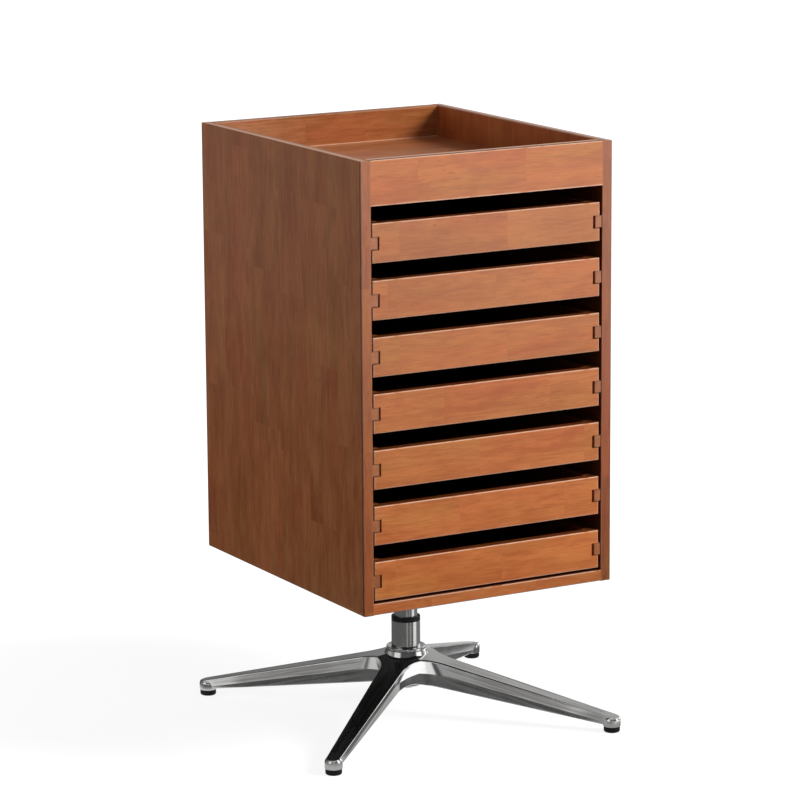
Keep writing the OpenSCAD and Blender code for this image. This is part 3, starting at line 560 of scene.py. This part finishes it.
# Faces of the boards round the open space that holds the trays, of the recess, a runner and a tray
opening_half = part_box("front_rail")[1].x
opening_low, opening_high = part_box("bottom_panel")[1].z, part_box("front_rail")[0].z
opening_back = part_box("back_panel")[0].y
case_low, case_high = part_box("side_panel_left")[0].z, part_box("side_panel_left")[1].z
recess_floor, recess_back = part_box("top_tray_floor")[1].z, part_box("back_panel")[0].y
runner_low, runner_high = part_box("runners_1")
runner_front, runner_face = runner_low.y, runner_high.x - RUNNER_W
runner_middle, runner_half_h = (runner_low.z + runner_high.z) / 2, (runner_high.z - runner_low.z) / 2
tray_inner_left, tray_inner_right = (corner.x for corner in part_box("tray_back_1"))
tray_inner_front, tray_inner_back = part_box("tray_front_1")[1].y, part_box("tray_back_1")[0].y
case_front, case_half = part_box("side_panel_left")[0].y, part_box("side_panel_right")[1].x


# A face still counts as within a limit when it lies this little past it, and no longer at the second distance
SKIN_IN, SKIN_OUT = 0.2 * MM, 0.6 * MM


def up_to(value, limit):
    """1 as far as a limit, the face there included."""
    return 1 - value.ramp(limit + SKIN_IN, limit + SKIN_OUT)


def down_to(value, limit):
    """1 from above down to a limit, the face there included."""
    return value.ramp(limit - SKIN_OUT, limit - SKIN_IN)


def top_face(z, level):
    """1 on the upper face of a board that reaches up to a level."""
    return (z - level).ramp(-0.3 * MM, -0.1 * MM)


def behind_edge(y, front):
    """1 behind a board's rounded front edge."""
    return (y - front).ramp(0.8 * MM, 1.4 * MM)


def opening_shade(x, y, z):
    """1 on the faces that close the open space in, fading to 0 towards its front: where the painted shade
    inside the case goes.
    """
    within = up_to(x.size(), opening_half) * down_to(z, opening_low) * up_to(z, opening_high)
    return within * y.ramp(case_front, case_front + 3 * MM) * up_to(y, opening_back)


def tray_inside_shade(x, y, z):
    """1 on the faces of a tray's boards that look into the tray: where the painted shade inside a tray goes."""
    sides = (x - tray_inner_left).low(tray_inner_right - x)
    ends = (y - tray_inner_front).low(tray_inner_back - y)
    return down_to(sides.low(ends), 0.0)


def front_corner_shade(x, y, z):
    """Painted shade: a dark line along a side panel's outer front corner."""
    inward = (case_half - x.size()).high(y - case_front)
    return (1 - inward.ramp(1.3 * MM, 2.1 * MM)) * 0.9


def front_edge(x, y, z):
    """A side panel's front edge, lipped with a strip of darker wood."""
    return 1 - (y - case_front).ramp(0.1 * MM, 0.3 * MM)


def runner_edge_shade(x, y, z):
    """Painted shade: a dark line round the runners' front ends."""
    inner = (x.size() - runner_face).low(opening_half - x.size())
    across = inner.low(runner_half_h - (z - runner_middle).size())
    return (1 - across.ramp(0.5 * MM, 1.5 * MM)) * (1 - (y - runner_front).ramp(0.5 * MM, 1.0 * MM)) * 0.75


def lower_face(x, y, z):
    """The bottom panel's underside."""
    return z.math("LESS_THAN", case_low + 0.3 * MM)


def lower_edge_shade(x, y, z):
    """Painted shade: a dark line along the case's lower edge."""
    return (1 - (z - case_low).ramp(0.6 * MM, 1.8 * MM)) * 0.7


def upper_face_shade(name):
    """The upper face of a board behind its front edge: where painted shade goes."""
    low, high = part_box(name)
    return lambda x, y, z: top_face(z, high.z) * behind_edge(y, low.y)


def case_top_sheen(x, y, z):
    """Painted sheen: the outer part of the side panels' upper edges made pale."""
    inward = case_half - x.size()
    return top_face(z, case_high) * (1 - inward.ramp(8 * MM, 11 * MM)) * 0.5


def rail_dark_strip(x, y, z):
    """Dark strip along the middle of the rail's upper face."""
    before_back = 1 - (y - case_front).ramp(8 * MM, 9 * MM)
    return top_face(z, case_high) * behind_edge(y, case_front) * before_back


def rail_back_highlight(x, y, z):
    """Painted highlight: the rear part of the rail's upper face made pale."""
    return top_face(z, case_high) * (y - case_front).ramp(8.5 * MM, 9.5 * MM) * 0.75


def floor_joint_highlight(x, y, z):
    """Painted highlight: a pale line on the back panel, where the floor of the recess meets it."""
    above = z - recess_floor
    line = above.ramp(-0.3 * MM, 0.0) * (1 - above.ramp(1.0 * MM, 1.8 * MM))
    front_face = 1 - (y - recess_back).ramp(0.2 * MM, 0.5 * MM)
    return line * front_face * 0.55


def lit_left_end(start, end):
    """The left end of a board, paler than the rest: painted light and sheen."""
    return lambda x, y, z: 1 - x.ramp(start, end)


def recess_shade(x, y, z):
    """The side panels' inner faces above the recess's floor: where the painted shade of the recess goes."""
    return up_to(x.size(), opening_half) * (z - recess_floor).ramp(0.0, MM)


def butted(name):
    """A board's box made longer at both ends, which butt against the sides and so get no pale edge of wear and
    painted highlight there.
    """
    low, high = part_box(name)
    longer = Vector((20 * MM, 0, 0))
    return low - longer, high + longer


def paint(finish, *names):
    """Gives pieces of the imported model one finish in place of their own."""
    for name in names:
        slots = nodes[name].data.materials
        slots.clear()
        slots.append(finish)


def per_level(stem):
    """The names of the pieces that repeat from tray to tray."""
    return [f"{stem}_{k}" for k in range(1, LEVELS + 1)]


# Painted shade on the faces inside the case
case_shade_marks = [(opening_shade, INSIDE_SHADE, "MULTIPLY")]
# The last colour of each side is the painted sheen on its upper edge
side_finishes = [("left", 3.0, LEFT_LIPPING, EDGE_SHEEN), ("right", 11.0, RIGHT_LIPPING, EDGE_SHEEN_WHITE)]
for side, seed, lipping, top_sheen in side_finishes:
    panel = f"side_panel_{side}"
    # Painted shade inside the case and the recess, painted sheen on the upper edges, and painted shade lines
    # along the front corner and the lower edge
    side_marks = [
        *case_shade_marks,
        (recess_shade, RECESS_SHADE, "MULTIPLY"),
        (case_top_sheen, top_sheen, "MIX"),
        (front_edge, lipping, "MULTIPLY"),
        (front_corner_shade, SHADE_LINE_BROWN, "MIX"),
        (lower_edge_shade, SHADE_LINE_BROWN, "MIX"),
    ]
    paint(lacquered_wood(f"side_wood_{side}", "zyx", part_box(panel), seed=seed, marks=side_marks, **side_wood),
          panel)

# Painted shade inside the case; painted light on the left ends of the back panel and the recess's floor;
# painted highlights on the rail's rear edge and at the recess's floor joint
bottom_marks = [*case_shade_marks, (lower_edge_shade, SHADE_LINE_BROWN, "MIX"), (lower_face, UNDERSIDE_BLACK, "MIX")]
back_marks = [*case_shade_marks, (lit_left_end(-160 * MM, 20 * MM), LEFT_SHEEN, "MULTIPLY"), (floor_joint_highlight, EDGE_SHEEN, "MIX")]
rail_marks = [(rail_dark_strip, RAIL_STRIP_DARK, "MULTIPLY"), (rail_back_highlight, EDGE_SHEEN, "MIX")]
recess_floor_marks = [*case_shade_marks, (lit_left_end(-80 * MM, 160 * MM), LEFT_SHEEN, "MULTIPLY")]
runner_marks = [(runner_edge_shade, SHADE_LINE_BROWN, "MIX")]

paint(lacquered_wood("bottom_wood", "xyz", butted("bottom_panel"), seed=5.0, marks=bottom_marks,
                     **front_wood), "bottom_panel")
paint(lacquered_wood("back_wood", "xzy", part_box("back_panel"), seed=8.0, marks=back_marks, **side_wood),
      "back_panel")
paint(lacquered_wood("rail_wood", "xzy", butted("front_rail"), seed=2.0, marks=rail_marks, **front_wood),
      "front_rail")
paint(lacquered_wood("top_floor_wood", "xyz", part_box("top_tray_floor"), seed=7.0, coat=0.5,
                     marks=recess_floor_marks, **side_wood), "top_tray_floor")

tray_finishes = [
    ("tray_front", "xzy", 4.0, 0.85),
    ("tray_sides", "yzx", 6.0, 0.1),
    ("tray_back", "xzy", 9.0, 0.1),
]
for stem, axes, seed, wear_and_highlight in tray_finishes:
    board = f"{stem}_1"
    # Painted shade inside the trays and on the upper faces of their boards
    tray_shade_marks = [(tray_inside_shade, INSIDE_SHADE, "MULTIPLY"), (upper_face_shade(board), INSIDE_SHADE, "MULTIPLY")]
    paint(lacquered_wood(f"{stem}_wood", axes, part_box(board), seed=seed, pitch=tray_pitch, level_light=TRAY_LEVEL_LIGHT,
                         marks=tray_shade_marks, **{**front_wood, "wear_and_highlight": wear_and_highlight}), *per_level(stem))
paint(lacquered_wood("runner_wood", "yzx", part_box("runners_1"), seed=1.0, pitch=tray_pitch,
                     marks=runner_marks, **side_wood), *per_level("runners"))

# Sheet and turned wood show no glued blocks, so their staves and blocks are longer than the pieces
unjoined = dict(stave=2.0, block=3.0)
# The bottom sheets are darkened all over: painted shade inside the trays
paint(lacquered_wood("tray_bottom_sheet", "xyz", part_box("tray_bottom_1"), seed=12.0, pitch=tray_pitch,
                     light=stained(TEAK_LIGHT, INSIDE_SHADE), dark=stained(TEAK_DARK, INSIDE_SHADE), **unjoined),
      *per_level("tray_bottom"))
paint(lacquered_wood("dowel_beech", "xyz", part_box("carcass_dowels"), gloss=0.6,
                     light=PALE_BEECH, dark=stained(PALE_BEECH, (0.7,) * 3), **unjoined), "carcass_dowels")

alloy = metal("polished_alloy", (0.84, 0.84, 0.83), 0.10, streaks=0.10, wave=1.2, lines=0.65,
              turned_by=ARM_TURN)
paint(metal("turned_alloy", (0.78, 0.78, 0.77), 0.12, streaks=0.08), "column_flange")
paint(metal("chromed_steel", (0.70, 0.70, 0.69), 0.08, streaks=0.05), "column_tube", "swivel_tube")
paint(metal("bearing_steel", (0.62, 0.62, 0.62), 0.2, streaks=0.1),
      "bearing_race_upper", "bearing_race_lower", "bearing_balls")
paint(metal("zinc_steel", (0.66, 0.67, 0.68), 0.35, streaks=0.15),
      "runner_screws", "plate_screws", "retaining_washer", "circlip", "glide_studs", "spindle_plug")
paint(moulded("black_steel", (0.004, 0.004, 0.004), 0.5), "mounting_plate")
paint(moulded("black_plastic", (0.010, 0.010, 0.011), 0.32), "upper_bush", "lower_bush", "ball_cage")
paint(moulded("black_rubber", (0.006, 0.006, 0.006), 0.55, grain=1400.0), "glide_pads")

base_casting(alloy)


# ---------------------------------------------------------------- stage, light and camera

# Brightness of the dark room that the metal mirrors
ROOM_GLOW = 0.07

# Lit panels that the metal mirrors: azimuth, half width, soft edge, lowest, highest, soft edge, brightness
PANELS = [
    (46, 12, 8, -8, 60, 6, 1.3),
    (-21, 2, 3, -8, 5, 6, 0.4),
    (8, 2, 3, -8, 5, 6, 0.35),
    (55, 42, 10, -62, -23, 3, 1.3),
    (-5, 11, 5, -62, -23, 3, 0.9),
    (-72, 26, 14, -66, -46, 8, 0.30),
    (-72, 26, 14, -40, -24, 5, 0.60),
    (113, 9, 8, -4, 30, 6, 1.6),
    (139, 14, 8, 12, 35, 8, 0.38),
    (155, 14, 10, -2, 9, 4, 0.10),
    (112, 8, 5, -17, -10, 2, 0.45),
    (125, 8, 5, -26, -20, 2, 0.08),
    (-78, 14, 6, -5, 26, 4, 0.75),
    (-60, 60, 20, 30, 62, 8, 0.35),
    (90, 7, 5, 5, 28, 5, 1.20),
    (-75, 60, 15, -9, 8, 4, 0.35),
    (-165, 40, 14, -38, -20, 6, 0.60),
]

# Bands of light on the floor round the base, as the metal mirrors them: azimuth, half width, soft edge,
# brightness; and the faint glow between them
FLOOR_BANDS = [(46, 13, 4, 0.9), (-19, 4, 4, 0.2), (8, 4, 4, 0.2), (102, 34, 8, 0.1), (146, 14, 8, 0.45)]
FLOOR_GLOW = 0.14

# Pools of light on the floor round the feet, as the metal mirrors them, from the rear foot on: brightness,
# the same to the right of the arm, and the radii between which the pool fades
POOLS = [
    (0.80, 0.14, 0.08, 0.11),
    (0.75, 0.75, 0.04, 0.07),
    (0.50, 0.50, 0.05, 0.10),
    (0.34, 0.34, 0.05, 0.10),
]


def facing(u, v, azimuth, half, soft):
    """1 where the level direction (u, v) lies within half degrees of an azimuth, which is in degrees right of
    the front, and fading over soft degrees more."""
    a = math.radians(azimuth)
    nearness = u * math.sin(a) - v * math.cos(a)
    return nearness.ramp(math.cos(math.radians(half + soft)), math.cos(math.radians(half)))


def stage_floor():
    """Pale floor: nearly white to the camera, with the object's shadow, and a plain grey to the light that it
    throws back. Mirrored rays pass through it near the base, into the studio's lower half, and further out
    meet a floor that glows as light for them: bands and pools round the base, and far off a glow brightest to
    the front right."""
    span = 30.0
    mesh = bpy.data.meshes.new("studio_floor")
    corners = np.array([(-1, -1, 0), (1, -1, 0), (1, 1, 0), (-1, 1, 0)], float) * span
    mesh.from_pydata(corners.tolist(), [], [(0, 1, 2, 3)])
    f = Finish("studio_floor")
    seen, mirrored = f.rays()
    x, y, _ = f.places()
    out = (x * x + y * y).math("SQRT")
    u, v = x / out.high(0.001), y / out.high(0.001)
    to_front_right = u * 0.5 - v * 0.86
    matt = f.node("ShaderNodeBsdfDiffuse", None, {"Color": (0.25, 0.25, 0.25, 1.0)})
    gone = f.node("ShaderNodeBsdfTransparent", None, {"Color": (1.0, 1.0, 1.0, 1.0)})
    far = out.ramp(1.6, 5.0) * (0.3 + to_front_right.ramp(-0.6, 0.9) * 4.2)
    ring = FLOOR_GLOW
    for azimuth, half, soft, bright in FLOOR_BANDS:
        ring = facing(u, v, azimuth, half, soft) * bright + ring
    ring = ring * (1 - out.ramp(0.7, 1.0))
    solid = out.ramp(0.34, 0.37)
    for k, (bright, beside, inner, outer) in enumerate(POOLS):
        foot = ARM_TURN + k * math.pi / 2
        dx, dy = x - FOOT_CIRCLE * math.cos(foot), y - FOOT_CIRCLE * math.sin(foot)
        pool = 1 - (dx * dx + dy * dy).math("SQRT").ramp(inner, outer)
        right_of_arm = dx * math.sin(foot) - dy * math.cos(foot)
        shade = bright + right_of_arm.ramp(16 * MM, 28 * MM) * (beside - bright)
        ring, solid = ring + (shade - ring) * pool, solid.high(pool)
    sheen = f.node("ShaderNodeEmission", None, {"Color": f.grey(far + ring, 8.0)})
    mirror_view = f.node("ShaderNodeMixShader", None, [solid, gone, sheen])
    pale = f.node("ShaderNodeBsdfDiffuse", None, {"Color": (0.22, 0.22, 0.22, 1.0)})
    white = f.node("ShaderNodeEmission", None, {"Color": f.mix(out.ramp(0.5, 1.4), (0.87,) * 3, (1.07,) * 3)})
    shown = f.node("ShaderNodeAddShader", None, [pale, white])
    unseen = f.node("ShaderNodeMixShader", None, [mirrored, matt, mirror_view])
    surface = f.node("ShaderNodeMixShader", None, [seen, unseen, shown])
    f.node("ShaderNodeOutputMaterial", None, {"Surface": surface})
    mesh.materials.append(f.material)
    floor = bpy.data.objects.new("studio_floor", mesh)
    bpy.context.scene.collection.objects.link(floor)


def soft_box(name, azimuth, elevation, distance, width, height, power, aim=(0.0, 0.0, 0.45)):
    """Area lamp looking at the object, from an azimuth right of the front and an elevation, in degrees."""
    a, e = math.radians(azimuth), math.radians(elevation)
    away = Vector((math.sin(a) * math.cos(e), -math.cos(a) * math.cos(e), math.sin(e)))
    lamp = bpy.data.lights.new(name, "AREA")
    lamp.shape, lamp.size, lamp.size_y, lamp.energy = "RECTANGLE", width, height, power
    holder = bpy.data.objects.new(name, lamp)
    bpy.context.scene.collection.objects.link(holder)
    holder.location = Vector(aim) + away * distance
    holder.rotation_mode = "QUATERNION"
    holder.rotation_quaternion = (-away).to_track_quat("-Z", "Y")
    holder.visible_glossy = False


def studio_world():
    """White to the camera and a plain soft grey as light. To the metal it is a dark room with a lighter
    ceiling and lit panels: each panel is a span of azimuths, right of the front, and of heights, in degrees,
    with a brightness."""
    world = bpy.data.worlds.new("studio")
    bpy.context.scene.world = world
    world.use_nodes = True
    f = Finish("studio", world.node_tree)
    seen, mirrored = f.rays()
    x, y, z = f.places("Generated")
    level = (x * x + y * y).math("SQRT").high(0.001)
    u, v = x / level, y / level
    ceiling = z.ramp(0.82, 0.92) * 0.4
    room = ceiling + ROOM_GLOW
    for azimuth, half, soft, low, high, blur, bright in PANELS:
        sideways = facing(u, v, azimuth, half, soft)
        sines = [math.sin(math.radians(h)) for h in (low - blur, low, high, high + blur)]
        upright = z.ramp(*sines[:2]) * (1 - z.ramp(*sines[2:]))
        room = sideways * upright * bright + room
    light = f.node("ShaderNodeBackground", None, {"Color": (0.31, 0.31, 0.32, 1.0)})
    gleam = f.node("ShaderNodeBackground", None, {"Color": f.grey(room, 2.0)})
    white = f.node("ShaderNodeBackground", None, {"Color": (1.0, 1.0, 1.0, 1.0)})
    lit = f.node("ShaderNodeMixShader", None, [mirrored, light, gleam])
    surface = f.node("ShaderNodeMixShader", None, [seen, lit, white])
    f.node("ShaderNodeOutputWorld", None, {"Surface": surface})


def place_camera():
    """Long lens, looking slightly down at the front and the left side."""
    azimuth, elevation, roll = (math.radians(a) for a in (-29.509, 11.819, -0.374))
    target, distance = Vector((-0.00724, 0.0, 0.46644)), 5.2971
    right = Vector((math.cos(azimuth), math.sin(azimuth), 0.0))
    back = Vector((math.sin(azimuth) * math.cos(elevation), -math.cos(azimuth) * math.cos(elevation),
                   math.sin(elevation)))
    up = back.cross(right)
    level_right = right * math.cos(roll) + up * math.sin(roll)
    level_up = up * math.cos(roll) - right * math.sin(roll)
    camera = bpy.data.cameras.new("camera")
    camera.sensor_width, camera.lens = 36.0, 166.36
    holder = bpy.data.objects.new("camera", camera)
    bpy.context.scene.collection.objects.link(holder)
    turn = Matrix((level_right, level_up, back)).transposed()
    holder.matrix_world = Matrix.Translation(target + back * distance) @ turn.to_4x4()
    bpy.context.scene.camera = holder


stage_floor()
studio_world()
soft_box("key", azimuth=46, elevation=32, distance=6.0, width=2.0, height=2.0, power=385)
soft_box("fill", azimuth=-110, elevation=4, distance=2.6, width=1.6, height=0.8, power=15, aim=(0, 0, 0.72))
place_camera()
bpy.context.scene.view_settings.view_transform = "Standard"
